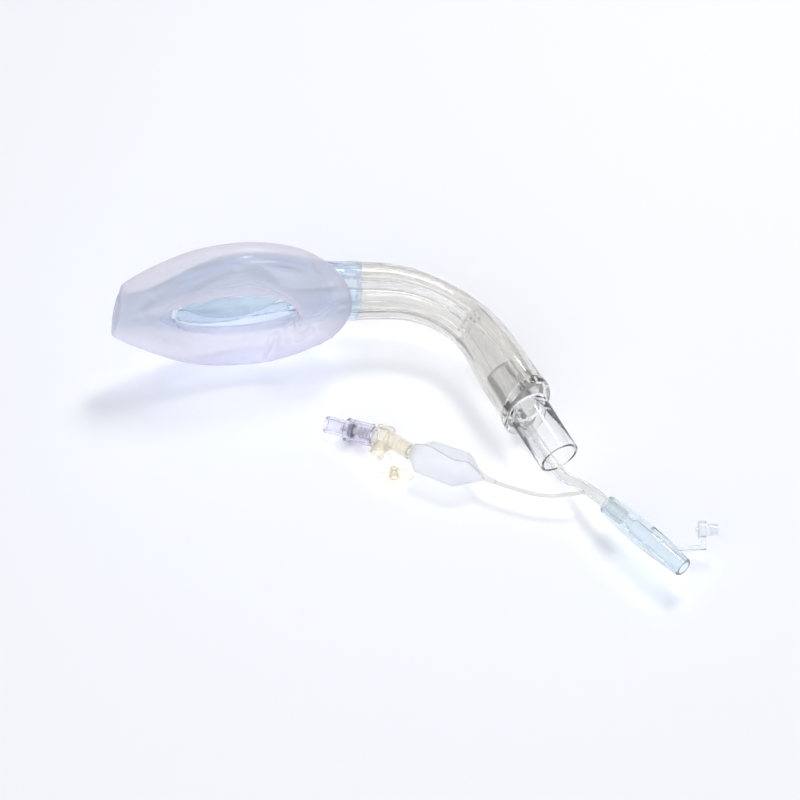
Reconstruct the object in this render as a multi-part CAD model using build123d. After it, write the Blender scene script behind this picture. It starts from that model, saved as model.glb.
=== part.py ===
from build123d import *
import math
import os

# A laryngeal mask airway, in millimetres, lying on a table at z = 0.
# It rests on the edge of its cuff and on its flange, with the bowl facing -Y.
# The mask and tube are drawn in the device's own frame and then laid down by REST:
# x along the tube's start, y to the outside of its bend, z to the device's side.

# Where the collar's end lies, the tube's first direction and the device's side direction
HOME = Vector(-1.6, 25.2, 0.0)
COLLAR_POINT = Vector(-15.8, 30.3, 27.75) + HOME
TUBE_DIRECTION = Vector(0.9903, 0.0895, -0.1066)
SIDE_DIRECTION = Vector(0.1137, -0.0781, 0.9904)
MASK_TURN = 7.5
MASK_TILT = 0.9

# The tube's centreline: straight, one bend, straight
TUBE_START = 8.0
BEND_RADIUS = 42.2
BEND_DEG = 66.7
TUBE_END = 31.3
FLANGE_FACE = TUBE_START + BEND_RADIUS * math.radians(BEND_DEG) + TUBE_END
FLANGE_THICK = 3.9
TUBE_STOP = FLANGE_FACE - FLANGE_THICK
POCKET_START = 46.0
POCKET_WALL = 1.4

# Half depth and half width of the tube's oval section at distances from the collar
COLLAR_DEPTH = 9.3
COLLAR_WIDTH = 13.6
TUBE_SIZES = [(0, COLLAR_DEPTH, COLLAR_WIDTH), (8, 8.9, 13.2), (20, 8.1, 12.2), (33, 7.6, 11.4),
              (POCKET_START, 7.7, 11.7), (55, 8.2, 13.0), (65, 8.6, 14.7), (75, 8.6, 15.3),
              (TUBE_STOP, 8.6, 15.4)]

# The lumens, as parts of the tube's half depth and half width
AIRWAY_DROP = 0.34
AIRWAY_DEPTH = 0.49
AIRWAY_WIDTH = 0.37
DRAIN_RISE = 0.18
DRAIN_SIDE = 0.57
DRAIN_RADIUS = 0.31

# Bite block, its ports and the connector in it
FLANGE_DEPTH = 9.3
FLANGE_WIDTH = 16.4
RIM_WIDTH = 1.1
RIM_HEIGHT = 0.9
CONNECTOR_DROP = 0.3
SPIGOT_RADIUS = 5.9
SPIGOT_LENGTH = 18.0
SPIGOT_BORE = 4.8
PORT_RISE = 0.5
PORT_SIDE = 10.4
PORT_RADIUS = 2.4
WAY_RADIUS = 1.9
DRAIN_INSERT = 8.0
NOTCH_LENGTH = 15.0
NOTCH_WIDTH = 9.0
CONE_BASE_RADIUS = 7.95
CONE_END_RADIUS = 7.6
CONE_LENGTH = 24.3
CONE_BORE = 6.5

# Cuff: outer edge, inner edge, half depth and backward set of both edges, for one half from tip to heel
CUFF_STATIONS = [
    ((-98.0, 0.0), (-71.5, 0.0), 4.2, -0.8, -1.8),
    ((-95.5, 9.4), (-70.2, 4.4), 4.2, -0.4, -3.0),
    ((-85.0, 19.2), (-66.0, 9.4), 5.3, 0.8, -5.0),
    ((-70.0, 27.4), (-59.5, 12.8), 6.6, 1.8, -6.6),
    ((-55.0, 31.6), (-51.0, 14.2), 7.2, 1.8, -7.6),
    ((-40.0, 32.2), (-42.0, 14.2), 7.3, 1.4, -8.2),
    ((-25.0, 28.2), (-34.0, 12.2), 7.3, 0.2, -8.8),
    ((-13.5, 20.5), (-28.5, 8.4), 7.1, -2.0, -9.6),
    ((-6.5, 11.0), (-25.4, 4.0), 6.9, -4.5, -10.4),
    ((-4.0, 0.0), (-24.6, 0.0), 6.7, -5.5, -10.8),
]
TIP_STATIONS = 5
TIP_END = -91.6
TIP_SLANT = 6.8

# Backplate: distance from the collar, half depth, half width and backward set
BACKPLATE_STATIONS = [(-22.0, 10.0, 16.6, 2.6), (-40.0, 10.2, 19.4, 3.6), (-55.0, 9.4, 18.6, 3.4),
                      (-70.0, 7.0, 14.2, 1.6), (-83.0, 4.2, 9.8, 0.2), (-95.0, 2.8, 8.6, -0.6)]
BAR_PLACE = -25.5
BAR_SPREAD = 1.7
BOWL_CENTRE = -47.5
BOWL_LEVELS = [(-24.0, 22.5, 16.8), (-2.0, 22.5, 16.8), (4.0, 21.0, 15.6), (10.6, 15.0, 10.0)]
CONDUIT_RADIUS = 3.1
CONDUIT_BORE = 2.2
CONDUIT_ROUTE = [(0.5, 1.7, 7.7), (-16.0, 4.0, 10.5), (-34.0, 6.0, 15.0), (-55.0, 5.5, 14.8),
                 (-76.0, 0.8, 5.4), (-95.0, 0.0, 4.6)]

# Drain tube: the points from the lower port to the suction connector
DRAIN_OUTER = 2.05
DRAIN_BORE = 1.35
DRAIN_GRIP = 9.0
SUCTION_BORE = 2.38
SUCTION_START = Vector(73.9, -59.4, 13.0) + HOME
SUCTION_END = Vector(99.1, -88.3, 14.0) + HOME

# Inflation line, a thin cord from the drain tube's wall to the pilot balloon
LINE_RADIUS = 0.7
LINE_ROUTE = [(66.9, -52.0, 10.7), (59.6, -52.9, 9.6), (51.6, -52.9, 9.1), (43.4, -50.3, 9.0),
              (34.6, -46.7, 9.2)]
LINE_POINTS = [Vector(*p) + HOME for p in LINE_ROUTE]

# Pilot balloon, side connector and check valve, which lie on the table
BALLOON_NECK = Vector(34.6, -46.7, 9.2) + HOME
BALLOON_TAIL = Vector(29.3, -44.6, 9.4) + HOME
BALLOON_HEAD = Vector(5.6, -36.2, 9.0) + HOME
VALVE_END = Vector(-8.9, -22.4, 5.9) + HOME
LUER_END = Vector(-27.5, -14.9, 3.7) + HOME
TEE_CENTRE = VALVE_END + (VALVE_END - LUER_END).normalized() * 7.5
TEE_HEAD = Vector(6.9, -36.7, 8.9) + HOME
SIDE_PORT_END = Vector(-10.4, -32.4, 4.4) + HOME
VALVE_SEAT = 9.6
END_WALL = 1.4

# Drain cap on its strap
CAP_ROOT = Vector(96.2, -79.9, 13.8) + HOME
CAP_FOLD = Vector(105.6, -79.3, 13.8) + HOME
CAP_CENTRE = Vector(105.6, -71.4, 13.8) + HOME

OVAL_POINTS = 12

REST = Plane(origin=COLLAR_POINT, x_dir=TUBE_DIRECTION, z_dir=SIDE_DIRECTION).location
MASK = Rot(0, 0, MASK_TURN) * Rot(0, MASK_TILT, 0)


def tube_plane(distance):
    """Plane across the tube: x to the outside of the bend, y to the device's side."""
    bend_length = BEND_RADIUS * math.radians(BEND_DEG)
    turned = math.radians(BEND_DEG) * min(max((distance - TUBE_START) / bend_length, 0.0), 1.0)
    after = max(distance - TUBE_START - bend_length, 0.0)
    x = min(distance, TUBE_START) + BEND_RADIUS * math.sin(turned) + after * math.cos(turned)
    y = -BEND_RADIUS * (1 - math.cos(turned)) - after * math.sin(turned)
    outward = (math.sin(turned), math.cos(turned), 0)
    along = (math.cos(turned), -math.sin(turned), 0)
    return Plane(origin=(x, y, 0), x_dir=outward, z_dir=along)


def oval(half_x, half_y):
    """Oval face drawn through points that start on x, so that lofts through ovals never twist."""
    turns = [math.tau * i / OVAL_POINTS for i in range(OVAL_POINTS)]
    return make_face(Spline([(half_x * math.cos(t), half_y * math.sin(t)) for t in turns], periodic=True))


def tube_loft(stations):
    """Solid through ovals, each given by distance, half depth, half width, rise and side offset."""
    return loft([tube_plane(distance) * Pos(rise, side) * oval(depth, width)
                 for distance, depth, width, rise, side in stations])


def between(start, end):
    """Plane at start that faces end."""
    return Plane(origin=start, z_dir=(end - start).normalized())


def turned_solid(plane, profile):
    """Solid of revolution about the plane's z axis, from points given as radius and height."""
    outline = make_face(Polyline(*[(r, 0, z) for r, z in profile], close=True))
    return plane.location * revolve(outline, Axis.Z)


def pipe(route, outer, bore, radii):
    """Round tube along straight runs joined by arcs."""
    path = FilletPolyline(*route, radius=radii)
    start = Plane(origin=path @ 0, z_dir=path % 0)
    solid = sweep(start * Circle(outer), path=path)
    return solid - sweep(start * Circle(bore), path=path) if bore else solid


def arc_radii(route):
    """Largest arc at each inner point: 0.45 of the shorter run over the tangent of half the turn."""
    radii = []
    for before, point, after in zip(route, route[1:], route[2:]):
        first, second = point - before, after - point
        half_turn = math.radians(first.get_angle(second)) / 2
        radii.append(0.45 * min(first.length, second.length) / math.tan(half_turn))
    return radii


def tube_size(distance):
    """Half depth and half width of the tube at a distance from the collar."""
    for (s0, d0, w0), (s1, d1, w1) in zip(TUBE_SIZES, TUBE_SIZES[1:]):
        if distance <= s1:
            part = (distance - s0) / (s1 - s0)
            return d0 + (d1 - d0) * part, w0 + (w1 - w0) * part
    return TUBE_SIZES[-1][1:]


def block_body():
    """The oval plug that fills the tube's pocket."""
    stations = [(s, d - POCKET_WALL, w - POCKET_WALL, 0, 0) for s, d, w in TUBE_SIZES if s >= POCKET_START]
    return tube_loft(stations)


def lumens():
    """The airway lumen and the two drain lumens of the soft tube."""
    airway, upper, lower = [], [], []
    for s in (-1, 8, 20, 33, POCKET_START + 1):
        depth, width = tube_size(max(s, 0))
        airway.append((s, AIRWAY_DEPTH * depth, AIRWAY_WIDTH * width, -AIRWAY_DROP * depth, 0))
        radius = DRAIN_RADIUS * depth
        upper.append((s, radius, radius, DRAIN_RISE * depth, DRAIN_SIDE * width))
        lower.append((s, radius, radius, DRAIN_RISE * depth, -DRAIN_SIDE * width))
    return tube_loft(airway), tube_loft(upper), tube_loft(lower)


def make_airway_tube():
    """Soft clear oval tube with three lumens and a pocket for the bite block."""
    body = tube_loft([(s, depth, width, 0, 0) for s, depth, width in TUBE_SIZES])
    return body - list(lumens()) - block_body()


def make_bite_block():
    """Rigid clear block in the tube's pocket, with a rimmed oval flange and a port at each side."""
    face = tube_plane(TUBE_STOP)
    flange = extrude(face * Ellipse(FLANGE_DEPTH, FLANGE_WIDTH), FLANGE_THICK)
    flange = fillet(flange.edges(), 0.8)
    inner_edge = Ellipse(FLANGE_DEPTH - RIM_WIDTH, FLANGE_WIDTH - RIM_WIDTH)
    recess = extrude(tube_plane(FLANGE_FACE - RIM_HEIGHT) * inner_edge, 2 * RIM_HEIGHT)
    block = block_body() + (flange - recess)
    spigot_stop = FLANGE_FACE - SPIGOT_LENGTH
    depth = TUBE_SIZES[4][1]
    socket = Pos(-CONNECTOR_DROP, 0) * Circle(SPIGOT_RADIUS)
    block -= extrude(tube_plane(spigot_stop) * socket, SPIGOT_LENGTH + 1)
    block -= tube_loft([(POCKET_START - 1, AIRWAY_DEPTH * depth, 4.6, -AIRWAY_DROP * depth, 0),
                        (58, 4.4, 4.8, -1.4, 0),
                        (spigot_stop + 0.5, SPIGOT_BORE, SPIGOT_BORE, -CONNECTOR_DROP, 0)])
    port_floor = FLANGE_FACE - DRAIN_INSERT
    for side, radius in ((1, PORT_RADIUS), (-1, DRAIN_OUTER)):
        block -= tube_loft([(POCKET_START - 1, WAY_RADIUS, WAY_RADIUS, DRAIN_RISE * depth, side * 6.7),
                            (58, WAY_RADIUS, WAY_RADIUS, 1.0, side * 8.6),
                            (70, WAY_RADIUS, WAY_RADIUS, PORT_RISE, side * PORT_SIDE),
                            (port_floor + 0.5, WAY_RADIUS, WAY_RADIUS, PORT_RISE, side * PORT_SIDE)])
        port = Pos(PORT_RISE, side * PORT_SIDE) * Circle(radius)
        block -= extrude(tube_plane(port_floor) * port, DRAIN_INSERT + 1)
    return block - notch()


def notch():
    """Wedge through the block's inner wall, wide at its free end and pointed towards the flange."""
    section = tube_plane(POCKET_START + NOTCH_LENGTH)
    floor = Plane(origin=section.origin - section.x_dir * 4.0, x_dir=section.z_dir, z_dir=-section.x_dir)
    corners = [(-22, -NOTCH_WIDTH / 2), (-22, NOTCH_WIDTH / 2), (0, 0.6), (0, -0.6)]
    return extrude(floor * make_face(Polyline(*corners, close=True)), 8)


def make_connector():
    """Clear 15 mm connector: a tapered barrel outside the flange and a spigot inside the block."""
    face = tube_plane(FLANGE_FACE - RIM_HEIGHT)
    axis = Plane(origin=face.origin - face.x_dir * CONNECTOR_DROP, x_dir=face.x_dir, z_dir=face.z_dir)
    lip = 0.35
    tail = RIM_HEIGHT - SPIGOT_LENGTH
    profile = [(SPIGOT_BORE, tail), (SPIGOT_RADIUS, tail), (SPIGOT_RADIUS, 0), (CONE_BASE_RADIUS, 0),
               (CONE_END_RADIUS, CONE_LENGTH - lip), (CONE_END_RADIUS - lip, CONE_LENGTH),
               (CONE_BORE, CONE_LENGTH), (CONE_BORE, 3.0), (SPIGOT_BORE, 0.8)]
    return turned_solid(axis, profile)


def cuff_section(outer, inner, half_depth, outer_set, inner_set):
    """Oval across the cuff's ring, standing on the line from its inner to its outer edge."""
    out_edge, in_edge = Vector(outer[0], outer_set, outer[1]), Vector(inner[0], inner_set, inner[1])
    middle, across = (out_edge + in_edge) / 2, out_edge - in_edge
    plane = Plane(origin=middle, x_dir=across.normalized(), z_dir=across.cross(Vector(0, 1, 0)).normalized())
    quarters = [EllipticalCenterArc((0, 0), across.length / 2, half_depth, start_angle=a, arc_size=90)
                for a in (0, 90, 180, 270)]
    return plane * make_face(Curve() + quarters)


def cuff_ring():
    """The whole ring: one half, lofted in steps round the tip and in one to the heel, and its mirror."""
    sections = [cuff_section(*station) for station in CUFF_STATIONS]
    half = loft(sections[TIP_STATIONS - 1:])
    for pair in zip(sections[:TIP_STATIONS], sections[1:TIP_STATIONS]):
        half += loft(list(pair))
    return half + mirror(half, about=Plane.XY)


def backplate_body():
    """Outer form of the backplate, from the oval collar to the tip."""
    collar = [tube_plane(s) * oval(COLLAR_DEPTH, COLLAR_WIDTH) for s in (0, -5, -10)]
    bowl = [MASK * Plane(origin=(a, back, 0), x_dir=(0, 1, 0), z_dir=(1, 0, 0)).location * oval(depth, width)
            for a, depth, width, back in BACKPLATE_STATIONS]
    return loft(collar + bowl)


def beyond_tip():
    """Block that cuts the mask's tip off flat, a little aslant."""
    return MASK * Pos(TIP_END, 0, 0) * Rot(0, TIP_SLANT, 0) * Pos(-20, 0, 0) * Box(40, 60, 80)


def conduit(side, radius):
    """Drain way from the collar round the bowl's back to the tip, on one side."""
    centres = [Vector(a, back, side * across) for a, back, across in CONDUIT_ROUTE]
    path = Spline(*centres)
    return MASK * sweep(Plane(origin=path @ 0, z_dir=path % 0) * Circle(radius), path=path)


def bowl_cavity():
    """Hollow of the bowl, open to the front."""
    levels = []
    for back, half_length, half_width in BOWL_LEVELS:
        level = Plane(origin=(BOWL_CENTRE, back, 0), x_dir=(1, 0, 0), z_dir=(0, 1, 0))
        levels.append(level * Ellipse(half_length, half_width))
    return MASK * loft(levels)


def conduits():
    """Both drain conduits, cut off where the collar ends."""
    pair = conduit(1, CONDUIT_RADIUS) + conduit(-1, CONDUIT_RADIUS)
    return pair - Pos(30, 0, 0) * Box(60, 60, 60)


def make_backplate(body, pair):
    """Blue moulded backplate: collar, bowl, drain conduits, tip and two bars at the airway's mouth."""
    plate = body - bowl_cavity() + pair
    section = oval(AIRWAY_DEPTH * COLLAR_DEPTH, AIRWAY_WIDTH * COLLAR_WIDTH)
    plate -= extrude(tube_plane(-32) * Pos(-AIRWAY_DROP * COLLAR_DEPTH, 0) * section, 33)
    for side in (1, -1):
        plate -= conduit(side, CONDUIT_BORE)
        plate += MASK * Pos(BAR_PLACE, 0.2, side * BAR_SPREAD) * Box(4.0, 10.4, 0.9)
    return plate - beyond_tip()


def make_cuff(body, pair):
    """Soft inflated cuff round the backplate, pressed flat where it stands on the table."""
    cuff = REST * (MASK * cuff_ring() - body - pair - beyond_tip()) - Pos(0, 0, -20) * Box(400, 400, 40)
    return max(cuff.solids(), key=lambda solid: solid.volume)


def drain_route():
    """Points of the drain tube, from inside the lower port to inside the suction connector."""
    face = tube_plane(FLANGE_FACE)
    port = face.origin + face.x_dir * PORT_RISE - face.y_dir * PORT_SIDE
    inside, outside = port - face.z_dir * DRAIN_INSERT, port + face.z_dir * 9.0
    inside, outside = [(REST * Pos(*p)).position for p in (inside, outside)]
    axis = (SUCTION_END - SUCTION_START).normalized()
    return [inside, outside, Vector(59.2, -39.2, 3.2) + HOME, Vector(65.8, -47.9, 9.0) + HOME,
            SUCTION_START - axis * 6.5, SUCTION_START + axis * DRAIN_GRIP]


def make_suction_connector():
    """Pale blue barrel on the drain tube's end, wider in the middle, with two flat grips and a lug."""
    length = (SUCTION_END - SUCTION_START).length
    plane = between(SUCTION_START, SUCTION_END)
    profile = [(DRAIN_OUTER, 0), (3.2, 0), (3.45, 0.5), (4.1, 6), (4.65, 17), (4.6, 23), (3.7, length - 4),
               (3.45, length - 0.4), (3.1, length), (SUCTION_BORE, length), (SUCTION_BORE, 14),
               (DRAIN_BORE, 11), (DRAIN_BORE, DRAIN_GRIP), (DRAIN_OUTER, DRAIN_GRIP)]
    barrel = turned_solid(plane, profile)
    for side in (1, -1):
        barrel -= plane.location * Pos(0, 0, 27) * Rot(0, 0, 48) * Pos(side * 5.35, 0, 0) * Box(2.6, 5, 13)
    return barrel


def strap(points, width, thick):
    """Flat strap in the horizontal plane along the given points."""
    path = Polyline(*points)
    first = points[1] - points[0]
    section = Plane(origin=points[0], x_dir=Vector(0, 0, 1), z_dir=first.normalized())
    return sweep(section * Rectangle(thick, width), path=path, transition=Transition.RIGHT)


def make_drain_cap():
    """Clear cap: plug, disc with a small nub, and the strap that ties it to the suction connector."""
    face = Plane(origin=CAP_CENTRE, z_dir=(1, 0, 0))
    cap = extrude(face * Circle(3.15), 2.6) + extrude(face.offset(2.6) * Circle(2.15), 4.3)
    cap += extrude(face * Circle(0.8), -1.0)
    cap -= extrude(face.offset(4.0) * Circle(1.35), 3.0)
    edge = CAP_CENTRE + Vector(1.3, -3.0, 0)
    fold = Vector(edge.X, CAP_FOLD.Y, CAP_FOLD.Z)
    return cap + strap([CAP_ROOT, fold, edge + Vector(0, 0.8, 0)], 1.7, 0.9)


def make_inflation_line():
    """Thin line to the pilot balloon: straight runs joined by tangent arcs."""
    radii = arc_radii(LINE_POINTS)
    print("inflation line radii", [round(r, 1) for r in radii])
    line = pipe(LINE_POINTS, LINE_RADIUS, 0, radii)
    length = FilletPolyline(*LINE_POINTS, radius=radii).length
    section = math.pi * LINE_RADIUS ** 2
    print("inflation line volume over section times length", line.volume / (section * length))
    return line


def make_pilot_balloon():
    """Flat six-sided pouch with a short neck at each end."""
    axis = (BALLOON_HEAD - BALLOON_TAIL).normalized()
    flat = axis.cross(Vector(0, 0, 1)).normalized()
    length = (BALLOON_HEAD - BALLOON_TAIL).length
    stations = [(0, 1.6, 1.4), (6.0, 8.4, 3.0), (19.0, 9.3, 3.3), (length, 6.6, 2.4)]
    pouch = loft([Plane(origin=BALLOON_TAIL + axis * s, x_dir=flat, z_dir=axis) * Ellipse(width, thick)
                  for s, width, thick in stations], ruled=True)
    back = (BALLOON_TAIL - BALLOON_NECK).length + 1.0
    neck = extrude(between(BALLOON_NECK, BALLOON_TAIL) * Circle(1.3), back)
    return pouch + neck


def make_tee():
    """Ivory side connector: a stem to the balloon, a ribbed valve socket and an open side port."""
    stem = between(TEE_CENTRE, TEE_HEAD)
    tee = extrude(stem * Circle(3.6), (TEE_HEAD - TEE_CENTRE).length)
    socket = between(TEE_CENTRE, VALVE_END)
    reach = (VALVE_END - TEE_CENTRE).length
    tee += extrude(socket * Circle(3.4), reach)
    for height in (reach - 1.2, reach - 3.4):
        tee += extrude(socket.offset(height) * Circle(3.9), 1.2)
    port = between(TEE_CENTRE, SIDE_PORT_END)
    port_reach = (SIDE_PORT_END - TEE_CENTRE).length
    tee += extrude(port * Circle(2.6), port_reach)
    tee += Pos(*TEE_CENTRE) * Sphere(3.6)
    tee -= extrude(stem * Circle(1.5), (TEE_HEAD - TEE_CENTRE).length)
    tee -= extrude(socket * Circle(1.5), reach)
    return tee - extrude(port * Circle(1.8), port_reach)


def make_vent_plug():
    """Ivory plug with an oval finger tab, on a thin strap from the side connector's stem."""
    centre = Vector(-1.6, -38.2, 3.2) + HOME
    flat = Plane(origin=centre, x_dir=(1, 0.12, 0), z_dir=(0, 0, 1))
    tab = extrude(flat * Ellipse(6.6, 3.0), 1.1, both=True)
    boss = extrude(Plane(origin=centre, z_dir=(0, 0, 1)) * Circle(1.9), 4.6)
    root = Vector(-3.4, -30.9, 6.2) + HOME
    return tab + boss + strap([root, Vector(root.X, centre.Y + 1, root.Z)], 1.4, 0.9)


def valve_plane():
    """Axis of the valve, from the luer's open end towards the side connector."""
    return between(LUER_END, VALVE_END)


def make_luer_inlet():
    """Clear lilac luer socket with its violet collar."""
    profile = [(2.12, 0), (3.0, 0), (3.25, 0.4), (3.25, 8.4), (4.4, 8.4), (4.4, 11.2), (3.1, 11.2),
               (3.1, VALVE_SEAT), (1.6, VALVE_SEAT), (1.6, 8.4), (2.0, 8.4)]
    return turned_solid(valve_plane(), profile)


def make_valve_housing():
    """Clear lilac shell that holds the plunger and its spring."""
    reach = (VALVE_END - LUER_END).length
    profile = [(3.1, 11.2), (4.2, 11.2), (4.2, reach - 1.6), (3.4, reach), (1.5, reach),
               (1.5, reach - END_WALL), (3.1, reach - END_WALL)]
    return turned_solid(valve_plane(), profile)


def make_valve_plunger():
    """Dark plunger: a stem that the syringe pushes and a head that seals."""
    head = VALVE_SEAT + 0.3
    profile = [(0, 6.2), (0.9, 6.2), (0.9, head), (2.6, head), (2.6, head + 3.6), (1.0, head + 3.6),
               (1.0, head + 5.0), (0, head + 5.0)]
    return turned_solid(valve_plane(), profile)


def make_valve_spring():
    """Small steel spring that holds the plunger on its seat."""
    start = VALVE_SEAT + 4.2
    length = (VALVE_END - LUER_END).length - END_WALL - start - 0.3
    coil = Helix(pitch=length / 3.5, height=length, radius=1.9)
    section = Plane(origin=coil @ 0, z_dir=coil % 0) * Circle(0.25)
    return valve_plane().location * Pos(0, 0, start) * sweep(section, path=coil, is_frenet=True)


def make_drain_tube(line):
    """Clear tube from the lower port to the suction connector, notched where the line enters its wall."""
    route = drain_route()
    radii = arc_radii(route)
    print("drain tube radii", [round(r, 1) for r in radii])
    return pipe(route, DRAIN_OUTER, DRAIN_BORE, radii) - line


def main():
    os.makedirs("parts", exist_ok=True)
    body, pair = backplate_body(), conduits()
    line = make_inflation_line()
    barrel, tee = make_suction_connector(), make_tee()
    nodes = {
        "cuff": make_cuff(body, pair),
        "backplate": REST * make_backplate(body, pair),
        "airway_tube": REST * make_airway_tube(),
        "bite_block": REST * make_bite_block(),
        "connector_15mm": REST * make_connector(),
        "drain_tube": make_drain_tube(line),
        "suction_connector": barrel,
        "drain_cap": make_drain_cap() - barrel,
        "inflation_line": line,
        "pilot_balloon": make_pilot_balloon() - tee - line,
        "side_connector": tee,
        "vent_plug": make_vent_plug() - tee,
        "luer_inlet": make_luer_inlet(),
        "valve_housing": make_valve_housing(),
        "valve_plunger": make_valve_plunger(),
        "valve_spring": make_valve_spring(),
    }
    for name, shape in nodes.items():
        export_step(shape, f"parts/{name}.step")


if __name__ == "__main__":
    main()
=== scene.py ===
import math

import bpy
from mathutils import Matrix, Vector, noise


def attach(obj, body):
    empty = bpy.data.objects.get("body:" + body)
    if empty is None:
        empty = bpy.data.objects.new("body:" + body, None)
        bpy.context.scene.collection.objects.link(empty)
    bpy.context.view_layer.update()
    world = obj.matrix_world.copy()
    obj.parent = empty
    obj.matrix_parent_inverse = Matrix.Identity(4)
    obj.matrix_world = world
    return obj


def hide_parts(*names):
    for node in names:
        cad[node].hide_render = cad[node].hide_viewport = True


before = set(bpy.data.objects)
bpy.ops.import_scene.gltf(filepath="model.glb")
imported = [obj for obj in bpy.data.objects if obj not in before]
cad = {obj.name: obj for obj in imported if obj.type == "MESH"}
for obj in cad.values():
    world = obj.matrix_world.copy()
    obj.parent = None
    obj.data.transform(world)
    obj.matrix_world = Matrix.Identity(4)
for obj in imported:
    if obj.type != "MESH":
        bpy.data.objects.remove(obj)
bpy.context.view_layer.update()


# Camera. The photo looks down at the device from the front, 50 degrees above the table. The clear
# pieces lie inside one another, so light is followed through many walls.

CAMERA_PLACE = (-0.0016, -0.5533, 0.6894)
CAMERA_TURN = (math.radians(40), 0, 0)
LENS_MM = 107.3
SENSOR_MM = 36
LIGHT_BOUNCES = 32
bpy.ops.object.camera_add(location=CAMERA_PLACE, rotation=CAMERA_TURN)
camera = bpy.context.object
camera.name = "camera"
camera.data.lens = LENS_MM
camera.data.sensor_width = SENSOR_MM
scene = bpy.context.scene
scene.camera = camera
scene.view_settings.view_transform = "Standard"
scene.cycles.transparent_max_bounces = LIGHT_BOUNCES
scene.cycles.transmission_bounces = LIGHT_BOUNCES
scene.cycles.max_bounces = LIGHT_BOUNCES


# Studio floor. A white paper sweep that runs out of view; it is lifted to white where the camera
# sees it, straight or through clear plastic, and keeps the device's soft grey shadows.

def linear(code):
    """Linear colour with alpha from an sRGB hex code."""
    parts = [int(code[i:i + 2], 16) / 255 for i in (0, 2, 4)]
    return tuple(p / 12.92 if p <= 0.04045 else ((p + 0.055) / 1.055) ** 2.4 for p in parts) + (1.0,)


def add(tree, kind, inputs=None, **settings):
    """Adds a node with its settings, values and links."""
    made = tree.nodes.new(kind)
    for name, value in settings.items():
        setattr(made, name, value)
    for name, value in (inputs or {}).items():
        if isinstance(value, bpy.types.NodeSocket):
            tree.links.new(value, made.inputs[name])
        else:
            made.inputs[name].default_value = value
    return made


def new_material(name):
    """A material with an empty node tree."""
    made = bpy.data.materials.new(name)
    made.use_nodes = True
    made.node_tree.nodes.clear()
    return made


def seen_directly(tree):
    """1 for rays that show a surface to the camera, straight, mirrored or through clear plastic."""
    path = add(tree, "ShaderNodeLightPath")
    mirrored = add(tree, "ShaderNodeMath",
                   {0: path.outputs["Is Camera Ray"], 1: path.outputs["Is Glossy Ray"]},
                   operation="MAXIMUM")
    return add(tree, "ShaderNodeMath", {0: mirrored.outputs[0], 1: path.outputs["Is Transmission Ray"]},
               operation="MAXIMUM").outputs[0]


FLOOR_SIZE = 5.0
FLOOR_DROP = 0.0002
FLOOR_LIFT = 0.07
bpy.ops.mesh.primitive_plane_add(size=FLOOR_SIZE, location=(0, 0, -FLOOR_DROP))
floor = bpy.context.object
floor.name = "sweep"
# Uncoated white paper, rolled: it has no shine, so it shows nothing but the shadows.
paper = new_material("white_paper_sweep")
tree = paper.node_tree
matt = add(tree, "ShaderNodeBsdfDiffuse", {"Color": linear("E9EAEE")})
lift = add(tree, "ShaderNodeMath", {0: seen_directly(tree), 1: FLOOR_LIFT}, operation="MULTIPLY")
glow = add(tree, "ShaderNodeEmission", {"Color": linear("F4F6FF"), "Strength": lift.outputs[0]})
both = add(tree, "ShaderNodeAddShader", {0: matt.outputs[0], 1: glow.outputs[0]})
add(tree, "ShaderNodeOutputMaterial", {"Surface": both.outputs[0]})
floor.data.materials.append(paper)


# Lamps and walls. A softbox above and behind the device throws its shadows to the front left, and
# a dimmer fill card in front opens them up. The walls are pale, and grey near the horizon, which
# gives clear plastic its grey edges.

def area_lamp(name, place, size, power):
    """Square lamp at the place that shines at the device."""
    bpy.ops.object.light_add(type="AREA", location=place)
    lamp = bpy.context.object
    lamp.name = name
    lamp.data.shape = "SQUARE"
    lamp.data.size = size
    lamp.data.energy = power
    lamp.rotation_euler = Vector(place).to_track_quat("Z", "Y").to_euler()


SOFTBOX_PLACE = (0.30, 0.46, 1.20)
SOFTBOX_SIZE = 0.30
SOFTBOX_POWER = 10.5
FILL_PLACE = (-0.45, -0.95, 0.85)
FILL_SIZE = 1.1
FILL_POWER = 7.0
area_lamp("softbox", SOFTBOX_PLACE, SOFTBOX_SIZE, SOFTBOX_POWER)
area_lamp("fill_card", FILL_PLACE, FILL_SIZE, FILL_POWER)

WALL_FOOT = "8C8F93"
WALL_MIDDLE, MIDDLE_HEIGHT = "B9BCC0", 0.30
WALL_TOP, TOP_HEIGHT = "F2F5FA", 0.75
WALL_LIGHT = 0.42
WALL_SEEN = 0.50
world = bpy.data.worlds.new("studio")
scene.world = world
world.use_nodes = True
tree = world.node_tree
tree.nodes.clear()
coordinates = add(tree, "ShaderNodeTexCoord")
height = add(tree, "ShaderNodeSeparateXYZ", {0: coordinates.outputs["Generated"]})
walls = add(tree, "ShaderNodeValToRGB", {"Fac": height.outputs["Z"]})
walls.color_ramp.elements[0].position = 0.0
walls.color_ramp.elements[0].color = linear(WALL_FOOT)
walls.color_ramp.elements[1].position = TOP_HEIGHT
walls.color_ramp.elements[1].color = linear(WALL_TOP)
band = walls.color_ramp.elements.new(MIDDLE_HEIGHT)
band.color = linear(WALL_MIDDLE)
seen = add(tree, "ShaderNodeMath", {0: seen_directly(tree), 1: WALL_SEEN, 2: WALL_LIGHT},
           operation="MULTIPLY_ADD")
dim = add(tree, "ShaderNodeBackground", {"Color": walls.outputs["Color"], "Strength": seen.outputs[0]})
plain = add(tree, "ShaderNodeBackground", {"Color": (1, 1, 1, 1), "Strength": 1.0})
path = add(tree, "ShaderNodeLightPath")
shown = add(tree, "ShaderNodeMixShader",
            {0: path.outputs["Is Camera Ray"], 1: dim.outputs[0], 2: plain.outputs[0]})
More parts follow.
